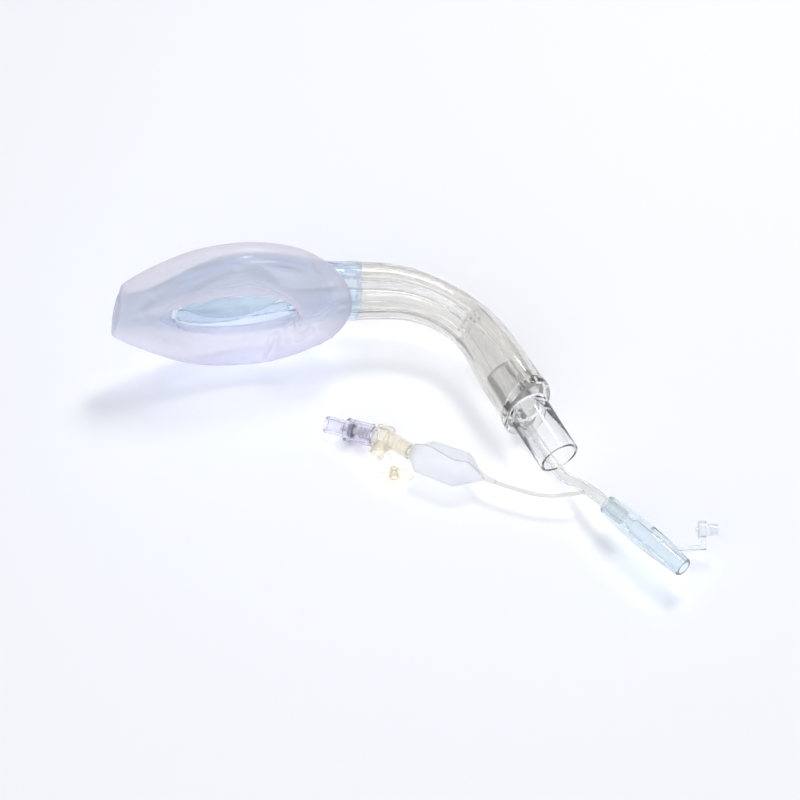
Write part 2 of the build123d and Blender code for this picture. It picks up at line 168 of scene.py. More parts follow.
add(tree, "ShaderNodeOutputWorld", {"Surface": shown.outputs[0]})


# Inflation line. A thin ivory PVC tube of 1.4 mm that leaves the drain tube's wall through a notch
# and lies in a shallow bow to the pilot balloon's neck. It is the device's only loose cord.

GRAIN_DEPTH = 0.0005
GRAIN_DETAIL = 3.0
FILM_TURN = 0.35
FILM_IOR = 1.45


def film(name, colour, edge_tint_and_shade, passed, roughness, opacity, edge_opacity, grain_mm, grain, glow=0.45,
         shade=0.3):
    """Thin translucent skin, clearer where it faces the eye and denser where it turns away.

    passed tints the light that goes through, glow is the share that is lit from behind, and shade
    is the share of its cover that is left for the lamp's shadow. The edge colour, mixed in where it
    turns away from the eye, is painted shade at its silhouettes, with the skin's own tint.
    """
    made = new_material(name)
    tree = made.node_tree
    place = add(tree, "ShaderNodeTexCoord")
    cloud = add(tree, "ShaderNodeTexNoise",
                {"Vector": place.outputs["Object"], "Scale": 1000 / grain_mm, "Detail": GRAIN_DETAIL})
    bump = add(tree, "ShaderNodeBump",
               {"Height": cloud.outputs[0], "Strength": grain, "Distance": GRAIN_DEPTH})
    turn = add(tree, "ShaderNodeLayerWeight", {"Blend": FILM_TURN})
    hue = add(tree, "ShaderNodeMix",
              {"Factor": turn.outputs["Facing"], "A": linear(colour), "B": linear(edge_tint_and_shade)}, data_type="RGBA")
    skin = add(tree, "ShaderNodeBsdfPrincipled",
               {"Base Color": hue.outputs["Result"], "Roughness": roughness, "IOR": FILM_IOR,
                "Normal": bump.outputs[0]})
    behind = add(tree, "ShaderNodeBsdfTranslucent", {"Color": hue.outputs["Result"]})
    lit = add(tree, "ShaderNodeMixShader", {0: glow, 1: skin.outputs[0], 2: behind.outputs[0]})
    clear = add(tree, "ShaderNodeBsdfTransparent", {"Color": linear(passed)})
    dense = add(tree, "ShaderNodeMapRange",
                {"Value": turn.outputs["Facing"], "To Min": opacity, "To Max": edge_opacity})
    path = add(tree, "ShaderNodeLightPath")
    lamp = add(tree, "ShaderNodeMapRange",
               {"Value": path.outputs["Is Shadow Ray"], "To Min": 1.0, "To Max": shade})
    cover = add(tree, "ShaderNodeMath", {0: dense.outputs[0], 1: lamp.outputs[0]}, operation="MULTIPLY")
    skin_or_air = add(tree, "ShaderNodeMixShader",
                      {0: cover.outputs[0], 1: clear.outputs[0], 2: lit.outputs[0]})
    add(tree, "ShaderNodeOutputMaterial", {"Surface": skin_or_air.outputs[0]})
    return made


LINE_POINTS = [(0.0653, -0.0268, 0.0107), (0.0580, -0.0277, 0.0096), (0.0500, -0.0277, 0.0091),
               (0.0418, -0.0251, 0.0090), (0.0330, -0.0215, 0.0092)]
LINE_DIAMETER = 0.0014
drawn = bpy.data.curves.new("inflation_line_tube", "CURVE")
drawn.dimensions = "3D"
spline = drawn.splines.new("NURBS")
spline.points.add(len(LINE_POINTS) - 1)
for point, place in zip(spline.points, LINE_POINTS):
    point.co = (*place, 1.0)
spline.order_u = 3
spline.use_endpoint_u = True
drawn.resolution_u = 16
drawn.bevel_depth = LINE_DIAMETER / 2
drawn.bevel_resolution = 6
drawn.use_fill_caps = True
line = bpy.data.objects.new("inflation_line_tube", drawn)
bpy.context.scene.collection.objects.link(line)
# Ivory PVC, extruded thin: an even waxy skin whose dim edges are painted shade. Its drag marks are far
# under a tenth of a millimetre, so they are drawn 1 mm wide to show at all.
drawn.materials.append(film("ivory_pvc", "F4F3F0", "CFCDC8", "F4F4F2", 0.25, 0.55, 0.95, 1.0, 0.05))
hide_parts("inflation_line")
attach(line, "airway")


# Airway tube. Soft clear PVC, extruded with one wide and two narrow lumens and bent warm; the cut
# wall bends what lies behind it, and the plasticiser gives it a warm grey haze.

CLEAR_TURN = 0.20


def clear_plastic(name, tint, edge_tint_and_shade, passed, roughness, ior, haze, haze_tint, grain_mm=2.0, grain=0.05):
    """Clear moulded plastic that bends what is seen through it.

    haze is its share of milk, and passed is the tint that is left of the lamp behind it. The edge
    colour, mixed in where a face turns away from the eye, is painted shade at the silhouettes, with
    the plastic's own tint where it has one.
    """
    made = new_material(name)
    tree = made.node_tree
    place = add(tree, "ShaderNodeTexCoord")
    cloud = add(tree, "ShaderNodeTexNoise",
                {"Vector": place.outputs["Object"], "Scale": 1000 / grain_mm, "Detail": GRAIN_DETAIL})
    bump = add(tree, "ShaderNodeBump",
               {"Height": cloud.outputs[0], "Strength": grain, "Distance": GRAIN_DEPTH})
    turn = add(tree, "ShaderNodeLayerWeight", {"Blend": CLEAR_TURN})
    hue = add(tree, "ShaderNodeMix",
              {"Factor": turn.outputs["Facing"], "A": linear(tint), "B": linear(edge_tint_and_shade)}, data_type="RGBA")
    body = add(tree, "ShaderNodeBsdfPrincipled",
               {"Base Color": hue.outputs["Result"], "Roughness": roughness, "IOR": ior,
                "Transmission Weight": 1.0, "Normal": bump.outputs[0]})
    front = add(tree, "ShaderNodeBsdfDiffuse", {"Color": linear(haze_tint)})
    behind = add(tree, "ShaderNodeBsdfTranslucent", {"Color": linear(haze_tint)})
    milk = add(tree, "ShaderNodeMixShader", {0: 0.5, 1: front.outputs[0], 2: behind.outputs[0]})
    cloudy = add(tree, "ShaderNodeMixShader", {0: haze, 1: body.outputs[0], 2: milk.outputs[0]})
    window = add(tree, "ShaderNodeBsdfTransparent", {"Color": linear(passed)})
    path = add(tree, "ShaderNodeLightPath")
    mix = add(tree, "ShaderNodeMixShader",
              {0: path.outputs["Is Shadow Ray"], 1: cloudy.outputs[0], 2: window.outputs[0]})
    add(tree, "ShaderNodeOutputMaterial", {"Surface": mix.outputs[0]})
    return made


def dress(node_name, made):
    """Gives a CAD node this material."""
    mesh = cad[node_name].data
    mesh.materials.clear()
    mesh.materials.append(made)


# Soft clear PVC, extruded: glossy and faintly warm, with ripples 2 mm apart where the die and the
# bending left the wall uneven.
dress("airway_tube", clear_plastic("soft_clear_pvc", "F8F7F5", "D9D6CD", "E0E0E0", 0.05, 1.38, 0.09,
                                   "F3F1ED"))


# Bite block. Rigid clear plastic, injection moulded, pushed into the tube's pocket; a thin gap of
# air round it draws its outline inside the tube.

BLOCK_GAP = 0.00006
MERGE_GAP = 0.00001
SMOOTH_UNDER = math.radians(35)
bpy.ops.object.select_all(action="DESELECT")
block = cad["bite_block"].copy()
block.data = cad["bite_block"].data.copy()
block.name = "bite_block_moulding"
block.parent = None
bpy.context.scene.collection.objects.link(block)
for key in list(block.keys()):
    del block[key]
block.select_set(True)
bpy.context.view_layer.objects.active = block
bpy.ops.object.mode_set(mode="EDIT")
bpy.ops.mesh.select_all(action="SELECT")
bpy.ops.mesh.remove_doubles(threshold=MERGE_GAP)
bpy.ops.transform.shrink_fatten(value=-BLOCK_GAP)
bpy.ops.object.mode_set(mode="OBJECT")
bpy.ops.object.shade_smooth_by_angle(angle=SMOOTH_UNDER)
block.data.materials.clear()
# Rigid clear plastic, injection moulded: hardly seen inside plastic of its own kind, hence the low
# IOR, with flow marks 3 mm apart.
block.data.materials.append(clear_plastic("moulded_clear_block", "FCFCFB", "EAEAE7", "F8F8F8", 0.02, 1.15,
                                          0.04, "F4F3F1", 3.0, 0.02))
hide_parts("bite_block")
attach(block, "airway")


# Breathing connector. The standard 15 mm male cone, injection moulded in hard clear plastic with
# a polished finish: almost invisible walls, grey lines at its edges and its lip.

SEAM_GAP = 0.000002


def lathe(name, start, end, profile, steps=48):
    """Ring turned round the line from start to end, from a closed profile of radius and height."""
    bpy.ops.object.select_all(action="DESELECT")
    bpy.ops.mesh.primitive_circle_add(vertices=len(profile), radius=1, fill_type="NOTHING")
    made = bpy.context.object
    made.name = name
    for v, (radius, height) in zip(made.data.vertices, profile):
        v.co = (radius, 0, height)
    bpy.ops.object.mode_set(mode="EDIT")
    bpy.ops.mesh.select_all(action="SELECT")
    bpy.ops.mesh.spin(steps=steps, angle=math.tau, center=(0, 0, 0), axis=(0, 0, 1))
    bpy.ops.mesh.select_all(action="SELECT")
    bpy.ops.mesh.remove_doubles(threshold=SEAM_GAP)
    bpy.ops.mesh.normals_make_consistent(inside=False)
    bpy.ops.object.mode_set(mode="OBJECT")
    turn = (end - start).to_track_quat("Z", "Y").to_matrix().to_4x4()
    made.data.transform(Matrix.Translation(start) @ turn)
    bpy.ops.object.shade_smooth_by_angle(angle=SMOOTH_UNDER)
    return made


# Where the tube's collar sits on the solids, and its ways along the tube, sideways and backwards.
COLLAR = Vector((-0.0174, 0.0555, 0.02775))
TUBE_WAY = Vector((0.9903, 0.0895, -0.1066))
SIDE_WAY = Vector((0.1137, -0.0781, 0.9904))
BACK_WAY = SIDE_WAY.cross(TUBE_WAY)
CONE_PROFILE = [(0.0048, -0.0030), (0.0057, -0.0030), (0.0057, 0.0001), (0.00795, 0.0001),
                (0.0076, 0.0243), (0.0065, 0.0243), (0.0065, 0.0030), (0.0048, 0.0001)]
CONE_STEPS = 96
CONE_AHEAD = 0.05851
CONE_FORWARD = 0.05355
CONE_SLANT = (0.39555, 0.91845)
cone_base = COLLAR + TUBE_WAY * CONE_AHEAD - BACK_WAY * CONE_FORWARD
cone_way = TUBE_WAY * CONE_SLANT[0] - BACK_WAY * CONE_SLANT[1]
cone = lathe("breathing_connector_cone", cone_base, cone_base + cone_way, CONE_PROFILE, CONE_STEPS)
# Hard clear plastic, moulded in a polished tool: clean highlights and grey edges, the grey partly
# bent in from the walls and partly painted shade. Its flow marks, 4 mm apart, only just bend what
# lies behind.
cone.data.materials.append(clear_plastic("moulded_hard_clear", "FCFCFC", "E2E4E7", "EEEEEE", 0.01, 1.30,
                                         0.02, "F4F5F6", 4.0, 0.01))
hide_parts("connector_15mm")
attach(cone, "airway")


# Drain tube. Clear PVC tube of 4.1 mm with a drawn, faintly wavy skin, from the lower port to
# the suction connector; the ivory line runs in its wall for the first stretch.

# Clear PVC, drawn thin: glossy with grey edges, partly bent in from the walls and partly painted
# shade; its skin is faintly wavy every 2 mm.
dress("drain_tube", clear_plastic("drawn_clear_pvc", "FAFAF9", "D6D6D4", "DCDCDC", 0.05, 1.34, 0.07,
                                  "F4F3F1"))


# Suction connector. Moulded soft PVC with an aqua tint that only shows where the wall is seen
# edge on, with two flat grips; the drain tube is glued into its narrow end.

# Tinted PVC, injection moulded: the aqua gathers at the edges, partly its own tint seen edge on and
# partly painted shade, and sink marks 2.5 mm apart soften the highlights.
dress("suction_connector", clear_plastic("moulded_aqua_pvc", "F4F9FB", "8DBEDB", "DADCE0", 0.04, 1.33,
                                         0.07, "EDF3F7", 2.5, 0.06))


# Drain cap. Clear soft plastic, moulded in one with its thin folded strap; a little haze and grey
# edges are all that shows of it against the white floor. The grey of its edges is painted shade.

# Soft clear plastic, injection moulded: slate grey at the edges, which is painted shade, with flow
# marks 2 mm apart.
dress("drain_cap", clear_plastic("moulded_soft_clear", "F4F6FA", "7E8DAE", "E6E7EA", 0.05, 1.36, 0.12,
                                 "EDF0F5"))


# Backplate. Blue-tinted PVC, injection moulded and softly translucent, with the collar that holds
# the tube and the bowl that closes the mask behind; it is palest where it faces the eye and bluer at
# its edges, partly its own tint seen edge on and partly painted shade.

# Tinted PVC, injection moulded: a satin skin with sink marks 4 mm apart, which blur what lies
# behind it into pale patches.
dress("backplate", clear_plastic("moulded_blue_pvc", "EAF1F8", "BACFE4", "F0F1F4", 0.08, 1.34, 0.10,
                                 "E8F0F6", 4.0, 0.15))


# Bowl film. The bowl's floor is a thin moulded skin of the same blue PVC that has shrunk into
# glossy waves; it is drawn as a rippled sheet a little in front of the bowl's back.

MASK_TURN = math.radians(7.5)
MASK_TILT = math.radians(0.9)
turned = TUBE_WAY * math.cos(MASK_TURN) + BACK_WAY * math.sin(MASK_TURN)
MASK_X = turned * math.cos(MASK_TILT) - SIDE_WAY * math.sin(MASK_TILT)
MASK_SIDE = turned * math.sin(MASK_TILT) + SIDE_WAY * math.cos(MASK_TILT)
MASK_BACK = BACK_WAY * math.cos(MASK_TURN) - TUBE_WAY * math.sin(MASK_TURN)


def in_mask(ahead, back, side):
    """Place in the mask's own frame, in metres from the collar."""
    return COLLAR + MASK_X * ahead + MASK_BACK * back + MASK_SIDE * side


def face_outwards():
    """Turns the faces of the active mesh outwards."""
    bpy.ops.object.mode_set(mode="EDIT")
    bpy.ops.mesh.select_all(action="SELECT")
    bpy.ops.mesh.normals_make_consistent(inside=False)
    bpy.ops.object.mode_set(mode="OBJECT")


def ripple(offset, width):
    """Cross-section of one fold: 1 on its line, fading over its width."""
    return math.exp(-(offset / width) ** 2)


FILM_HALF = (0.0205, 0.0150)
FILM_AHEAD = -0.0475
FILM_BACK = 0.0046
FILM_CROWN = 0.0035
FILM_THICKNESS = 0.0006
WAVE_HEIGHT = 0.0012
bpy.ops.object.select_all(action="DESELECT")
bpy.ops.mesh.primitive_grid_add(x_subdivisions=90, y_subdivisions=60, size=2)
sheet = bpy.context.object
sheet.name = "bowl_film"
for v in sheet.data.vertices:
    u, w = v.co.x, v.co.y
    rim = max(abs(u), abs(w))
    reach = math.hypot(u, w)
    if reach > 0:
        u, w = u * rim / reach, w * rim / reach
    slow_wave = noise.noise(Vector((u * 2.2 + 3.1, w * 2.6, 0.4)))
    fast_wave = noise.noise(Vector((u * 5.5, w * 6.5, 7.7)))
    wave = slow_wave + 0.45 * fast_wave
    fold = 0.0011 * ripple(w - 0.55 + 0.35 * u, 0.07) - 0.0009 * ripple(w + 0.35 - 0.2 * u, 0.09)
    hook = 0.0013 * ripple(math.hypot(u - 0.28, w - 0.22) - 0.30, 0.06)
    back = FILM_BACK + FILM_CROWN * (1 - rim ** 2) + (WAVE_HEIGHT * wave + fold + hook) * (1 - rim ** 4)
    v.co = in_mask(FILM_AHEAD + u * FILM_HALF[0], back, w * FILM_HALF[1])
face_outwards()
walled = sheet.modifiers.new("walled", "SOLIDIFY")
walled.thickness = FILM_THICKNESS
walled.offset = 0
bpy.ops.object.modifier_apply(modifier="walled")
bpy.ops.object.shade_smooth()
# Thin tinted PVC, moulded glossy: wet-looking highlights on every wave, bluer where it turns
# away, partly its own tint seen edge on and partly painted shade, with fine waves 3 mm apart.
sheet.data.materials.append(clear_plastic("glossy_blue_skin", "F0F7FB", "8FB8DA", "F2F4F6", 0.03, 1.36,
                                          0.30, "EAF3F9", 3.0, 0.05))
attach(sheet, "airway")


# Cuff. A soft bladder of thin lilac-grey PVC film, blow moulded and welded to the backplate round
# its inner and outer edge, blown up through the line and softly creased towards the heel.

# Stations from the tip to the heel, on one side, in millimetres from the collar: the section's outer
# end and inner end (ahead, sideways), its half depth, and how far back each end is set.
CUFF_STATIONS = [
    ((-98.0, 0.0), (-71.5, 0.0), 4.2, -0.8, -1.8),
    ((-95.5, 9.4), (-70.2, 4.4), 4.2, -0.4, -3.0),
    ((-85.0, 19.2), (-66.0, 9.4), 5.3, 0.8, -5.0),
    ((-70.0, 27.4), (-59.5, 12.8), 6.6, 1.8, -6.6),
    ((-55.0, 31.6), (-51.0, 14.2), 7.2, 1.8, -7.6),
    ((-40.0, 32.2), (-42.0, 14.2), 7.3, 1.4, -8.2),
    ((-25.0, 28.2), (-34.0, 12.2), 7.3, 0.2, -8.8),
    ((-13.5, 20.5), (-28.5, 8.4), 7.1, -2.0, -9.6),
    ((-6.5, 11.0), (-25.4, 4.0), 6.9, -4.5, -10.4),
    ((-4.0, 0.0), (-24.6, 0.0), 6.7, -5.5, -10.8),
]
CUFF_RINGS = 216
CUFF_TURNS = 56
TIP_END = -91.6
TIP_SLANT = math.radians(6.8)
TIP_ROUND = 0.7
TABLE_GAP = 0.00005
upper = [(*outer, *inner, depth, out_set, in_set) for outer, inner, depth, out_set, in_set in CUFF_STATIONS]
lower = [(a, -b, c, -d, e, f, g) for a, b, c, d, e, f, g in upper[-2:0:-1]]
CUFF_LOOP = upper + lower


def cuff_spot(ring, turn):
    """Point of the cuff, in metres, at a share of the way round and an angle round the section."""
    place = ring * len(CUFF_LOOP)
    first = int(place) % len(CUFF_LOOP)
    t = place - int(place)
    p0, p1, p2, p3 = [CUFF_LOOP[(first + k) % len(CUFF_LOOP)] for k in (-1, 0, 1, 2)]
    values = [b + 0.5 * t * (c - a + t * (2 * a - 5 * b + 4 * c - d + t * (3 * (b - c) + d - a)))
              for a, b, c, d in zip(p0, p1, p2, p3)]
    out_a, out_side, in_a, in_side, depth, out_set, in_set = values
    outer, inner = Vector((out_a, out_set, out_side)), Vector((in_a, in_set, in_side))
    across = outer - inner
    back = (Vector((0, 1, 0)) - across * (across.y / across.length_squared)).normalized()
    spot = (outer + inner) / 2 + across * (math.cos(turn) / 2) + back * (depth * math.sin(turn))
    tip_way = Vector((math.cos(TIP_SLANT), 0, -math.sin(TIP_SLANT)))
    ahead = (spot - Vector((TIP_END, 0, 0))).dot(tip_way)
    spot += tip_way * (0.5 * (ahead + math.hypot(ahead, TIP_ROUND)) - ahead)
    laid = in_mask(spot.x / 1000, spot.y / 1000, spot.z / 1000)
    laid.z = max(laid.z, TABLE_GAP)
    return laid


bpy.ops.object.select_all(action="DESELECT")
bpy.ops.mesh.primitive_torus_add(major_segments=CUFF_RINGS, minor_segments=CUFF_TURNS)
cuff = bpy.context.object
cuff.name = "cuff_bladder"
for i, v in enumerate(cuff.data.vertices):
    v.co = cuff_spot((i // CUFF_TURNS) / CUFF_RINGS, math.tau * (i % CUFF_TURNS) / CUFF_TURNS)
face_outwards()
normals = [v.normal.copy() for v in cuff.data.vertices]
# Folds, each with its line as (share of the way round, angle), its depth and its width in metres.
FOLDS = [
    ([(0.575, 2.90), (0.592, 3.61), (0.520, 3.85), (0.450, 3.98), (0.439, 4.97), (0.456, 5.34)],
     0.0010, 0.0012),
    ([(0.520, 3.85), (0.555, 4.60), (0.590, 5.20)], 0.0006, 0.0011),
    ([(0.690, 4.20), (0.683, 3.98), (0.653, 3.30)], 0.0016, 0.0013),
    ([(0.358, 5.60), (0.386, 5.34), (0.420, 5.00)], 0.0005, 0.0015),
    ([(0.022, 4.66), (0.060, 4.90), (0.103, 4.97)], 0.0005, 0.0014),
    ([(0.906, 4.40), (0.860, 4.10), (0.800, 3.90)], 0.0005, 0.0018),
    ([(0.081, 4.08), (0.211, 4.45), (0.253, 4.40), (0.328, 3.93), (0.400, 3.50)], 0.0004, 0.0008),
]
SLACK = 0.00025
SLACK_PITCH = 70
FOLD_REACH = 5
BANK_OFFSET = 1.9
REST_GAP = 0.00003


def on_cuff(line, steps=12):
    """Points on the cuff along a line given by shares of the way round and angles."""
    spots = []
    for (ring0, turn0), (ring1, turn1) in zip(line, line[1:]):
        spots += [cuff_spot(ring0 + (ring1 - ring0) * k / steps, turn0 + (turn1 - turn0) * k / steps)
                  for k in range(steps)]
    return spots + [cuff_spot(*line[-1])]


pushes = [SLACK * noise.noise(v.co * SLACK_PITCH) for v in cuff.data.vertices]
for fold, depth, width in FOLDS:
    spots = on_cuff(fold)
    for v in cuff.data.vertices:
        gap = min((v.co - spot).length_squared for spot in spots) ** 0.5 / width
        if gap < FOLD_REACH:
            pushes[v.index] += depth * (0.5 * math.exp(-(gap - BANK_OFFSET) ** 2) - math.exp(-gap ** 2))
for v, normal, push in zip(cuff.data.vertices, normals, pushes):
    v.co += normal * push
    v.co.z = max(v.co.z, REST_GAP)
bpy.ops.object.shade_smooth()
cuff.data.materials.clear()
# Soft PVC film, blow moulded: satin and see-through where it is flat to the eye, milky lilac
# towards its edges, partly its own tint seen edge on and partly painted shade. The blowing leaves it
# uneven every few millimetres, drawn as 3 mm clouds.
cuff.data.materials.append(film("blown_lilac_film", "F4F2F7", "DCD4E4", "F8F8FB", 0.24, 0.28, 0.88, 3.0,
                                0.06, 0.55, 0.3))
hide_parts("cuff")
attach(cuff, "airway")


# Pilot balloon. Two sheets of frosted PVC film welded round a six-sided outline and blown up a
# little, with a ridge from corner to corner, a thick weld at its tail and a round neck on the line.

def along(points, t):
    """Point at t on a broken line given as (t, x, y)."""
    for (t0, x0, y0), (t1, x1, y1) in zip(points, points[1:]):
        if t <= t1:
            break
    part = (t - t0) / (t1 - t0)
    return Vector((x0 + (x1 - x0) * part, y0 + (y1 - y0) * part, 0))


# The weld's outline on both long sides, as (share of the length, x, y) in metres.
UPPER_EDGE = [(0, 0.0028, -0.0052), (0.30, 0.0104, -0.0019), (0.80, 0.0236, -0.0076),
              (0.92, 0.0259, -0.0131), (1.0, 0.0284, -0.0178)]
LOWER_EDGE = [(0, 0.0014, -0.0095), (0.12, 0.0036, -0.0160), (0.60, 0.0172, -0.0226),
              (1.0, 0.0289, -0.0197)]
BALLOON_Z = 0.0086
BALLOON_RISE = 0.0030
TAIL_LIFT = 0.0006
WELD_HALF = 0.00012
CRUMPLE = 0.00018
POUCH_FULLNESS = 0.75
TAIL_TAPER = 0.30
HEAD_TAPER = 0.2
HEAD_SHARE = 0.78


def ridge_across(t):
    """Where the ridge crosses the pouch, from the upper edge at its head to the lower half at its tail."""
    return 0.97 - 1.1 * t + 0.65 * t * t


def pouch_spot(t, across):
    """Point of the upper sheet at a share of the length and of the width."""
    spot = along(LOWER_EDGE, t).lerp(along(UPPER_EDGE, t), across)
    ridge = ridge_across(t)
    if across > ridge:
        body = (1 - across) / (1 - ridge)
    else:
        body = math.sin(math.pi / 2 * across / ridge) ** POUCH_FULLNESS
    tail = math.sin(math.pi / 2 * min((1 - t) / TAIL_TAPER, 1.0))
    ends = tail * (HEAD_SHARE + (1 - HEAD_SHARE) * min(t / HEAD_TAPER, 1.0))
    crumple = CRUMPLE * noise.noise(Vector((t * 6, across * 3, 1.7))) * body
    return spot + Vector((0, 0, BALLOON_Z + TAIL_LIFT * t + WELD_HALF + BALLOON_RISE * body * ends + crumple))


bpy.ops.object.select_all(action="DESELECT")
bpy.ops.mesh.primitive_grid_add(x_subdivisions=70, y_subdivisions=44, size=2)
balloon = bpy.context.object
balloon.name = "pilot_balloon_pouch"
for v in balloon.data.vertices:
    v.co = pouch_spot((v.co.x + 1) / 2, (v.co.y + 1) / 2)
bpy.ops.object.mode_set(mode="EDIT")
bpy.ops.mesh.select_all(action="SELECT")
bpy.ops.mesh.duplicate()
bpy.ops.object.mode_set(mode="OBJECT")
for v in balloon.data.vertices:
    if v.select:
        v.co.z = 2 * BALLOON_Z - v.co.z
bpy.ops.object.mode_set(mode="EDIT")
bpy.ops.mesh.flip_normals()
bpy.ops.mesh.select_all(action="DESELECT")
bpy.ops.mesh.select_non_manifold()
bpy.ops.mesh.bridge_edge_loops()
bpy.ops.object.mode_set(mode="OBJECT")
face_outwards()
bpy.ops.object.shade_smooth()
# PVC film, embossed matt: a soft sheen in place of highlights. The embossing is far finer than
# the picture shows, so it is drawn 1.2 mm coarse.
balloon.data.materials.append(film("frosted_pvc_film", "F4F5F7", "DCDFE3", "F8F8FA", 0.34, 0.32, 0.85, 1.2,
                                   0.12, 0.55))
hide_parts("pilot_balloon")
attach(balloon, "airway")


def bead(name, points, radii):
    """Round rod through the points, as a mesh."""
    curve = bpy.data.curves.new(name, "CURVE")
    curve.dimensions = "3D"
    run = curve.splines.new("NURBS")
    run.points.add(len(points) - 1)
    for point, place, radius in zip(run.points, points, radii):
        point.co = (*place, 1.0)
        point.radius = radius
    run.order_u = 3
    run.use_endpoint_u = True
    curve.resolution_u = 8
    curve.bevel_depth = 1.0
    curve.bevel_resolution = 5
    curve.use_fill_caps = True
    made = bpy.data.objects.new(name, curve)
    bpy.context.scene.collection.objects.link(made)
    bpy.ops.object.select_all(action="DESELECT")
    made.select_set(True)
    bpy.context.view_layer.objects.active = made
    bpy.ops.object.convert(target="MESH")
    return bpy.context.object


NECK_POINTS = [(0.0236, -0.0077, 0.0089), (0.0250, -0.0105, 0.0090), (0.0262, -0.0140, 0.0091),
               (0.0278, -0.0178, 0.0092), (0.0300, -0.0200, 0.0092), (0.0328, -0.0214, 0.0092)]
NECK_RADII = [0.0003, 0.0005, 0.0005, 0.0008, 0.0011, 0.0010]
weld = bead("balloon_neck", NECK_POINTS, NECK_RADII)
# PVC melted together in the weld: whiter and denser than the film, smooth, with 1 mm lumps.
weld.data.materials.append(film("welded_white_pvc", "F6F6F5", "D8D8D6", "F6F6F6", 0.22, 0.45, 0.95, 1.0,
                                0.05))
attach(weld, "airway")
RIDGE_STEPS = 24
RIDGE_RADIUS = 0.00014
shares = [0.04 + 0.92 * k / RIDGE_STEPS for k in range(RIDGE_STEPS + 1)]
crease = bead("balloon_ridge", [pouch_spot(t, ridge_across(t)) for t in shares],
              [RIDGE_RADIUS] * len(shares))
# The same film, folded sharply, drawn as a thin grey-green line along the fold: painted shade.
crease.data.materials.append(film("fold_line_painted_shade", "C3CCD1", "AAB6BC", "F6F6F6", 0.3, 0.6, 0.9, 1.0,
                                  0.05))
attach(crease, "airway")


# Cuff rims. The weld along the cuff's inner edge stands up as a pale rounded rim round the
# opening, and a second, softer one shows through the film where the backplate's edge begins.

RIM_STEPS = 48
RIM_RADIUS = 0.00024
INNER_RIM_RADIUS = 0.00018
rim_line = [(k / RIM_STEPS, 3.17 + 0.5 * math.sin(math.tau * k / RIM_STEPS)) for k in range(RIM_STEPS + 1)]
inner_line = [(0.060, 4.10), (0.120, 4.25), (0.211, 4.45), (0.253, 4.40), (0.300, 4.15), (0.328, 3.93),
              (0.380, 3.70), (0.450, 3.40)]
# PVC pressed hot along the weld: smooth, glossier than the film, and pinkish towards its edges,
# partly its own tint and partly painted shade.
welded = film("welded_rim", "F8F2F6", "E4D6E4", "FAFAFC", 0.22, 0.35, 0.85, 1.0, 0.03, 0.5, 0.2)
for rim_name, rim, radius in (("cuff_rim", rim_line, RIM_RADIUS),
                              ("cuff_inner_rim", inner_line, INNER_RIM_RADIUS)):
    spots = on_cuff(rim, 3)
    welt = bead(rim_name, spots, [radius] * len(spots))
    welt.data.materials.append(welded)
    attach(welt, "airway")


# Side connector. Clear ivory plastic, injection moulded: a ring with lengthwise ribs that grips the
# check valve, a stem glued into the balloon in line with it, and a short wide side port.

def joined(name, parts):
    """One object made of these, the first keeping its material."""
    bpy.ops.object.select_all(action="DESELECT")
    for part in parts:
        part.select_set(True)
    bpy.context.view_layer.objects.active = parts[0]
    bpy.ops.object.join()
    parts[0].name = name
    return parts[0]


VALVE_END = Vector((-0.0105, 0.0028, 0.0059))
VALVE_WAY = Vector((0.921911, -0.371738, 0.109043))
STEM_END = Vector((0.0024, -0.0070, 0.0087))
PORT_ROOT = Vector((-0.0078, -0.0012, 0.0062))
PORT_END = Vector((-0.0112, -0.0050, 0.0042))
RIBS = 22
RIBBED_FROM = 0.0040
RIB_HEIGHT = 0.00022
RIB_SINK = 0.00010
ring = lathe("tee_ring", VALVE_END + VALVE_WAY * 0.0002, VALVE_END + VALVE_WAY,
             [(0.0036, 0), (0.0044, 0), (0.0047, 0.0005), (0.0047, 0.0052), (0.0043, 0.0060),
              (0.0031, 0.0062), (0.0031, 0.0048), (0.0036, 0.0044)], RIBS * 4)
rib_side = VALVE_WAY.cross(Vector((0, 0, 1))).normalized()
rib_up = VALVE_WAY.cross(rib_side)
for v in ring.data.vertices:
    offset = v.co - VALVE_END
    across = offset - VALVE_WAY * offset.dot(VALVE_WAY)
    if across.length > RIBBED_FROM:
        angle = math.atan2(across.dot(rib_up), across.dot(rib_side))
        v.co += across.normalized() * (RIB_HEIGHT * math.cos(RIBS * angle) - RIB_SINK)
stem_root = VALVE_END + VALVE_WAY * 0.0050
stem_length = (STEM_END - stem_root).length
stem = lathe("tee_stem", stem_root, STEM_END,
             [(0.0022, 0), (0.0031, 0), (0.0031, 0.0050), (0.0030, stem_length - 0.0002),
              (0.0028, stem_length), (0.0022, stem_length)])
sleeve = lathe("tee_sleeve", stem_root.lerp(STEM_END, 0.48), STEM_END,
               [(0.0012, 0), (0.00205, 0), (0.00205, 0.0050), (0.0012, 0.0050)])
port = lathe("tee_port", PORT_ROOT, PORT_END,
             [(0.0019, 0), (0.0028, 0), (0.0028, 0.0030), (0.0031, 0.0034), (0.0031, 0.0050),
              (0.0029, 0.0054), (0.0021, 0.0054), (0.0019, 0.0050)])
tee = joined("side_connector_moulding", [ring, stem, sleeve, port])
# Ivory-tinted clear plastic, injection moulded: creamy where walls lie one behind another, glossy,
# with flow marks 2 mm apart.
ivory = clear_plastic("moulded_ivory_clear", "FCFAF5", "E0D5BE", "F0F0EE", 0.06, 1.28, 0.18, "F5F2EA")
tee.data.materials.append(ivory)
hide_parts("side_connector")
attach(tee, "airway")


# Vent plug. The same ivory plastic: a thin oval tab with a thick rounded rim, a boss in its middle
# that closes the side port, and a thin strap that ties it to the side connector.

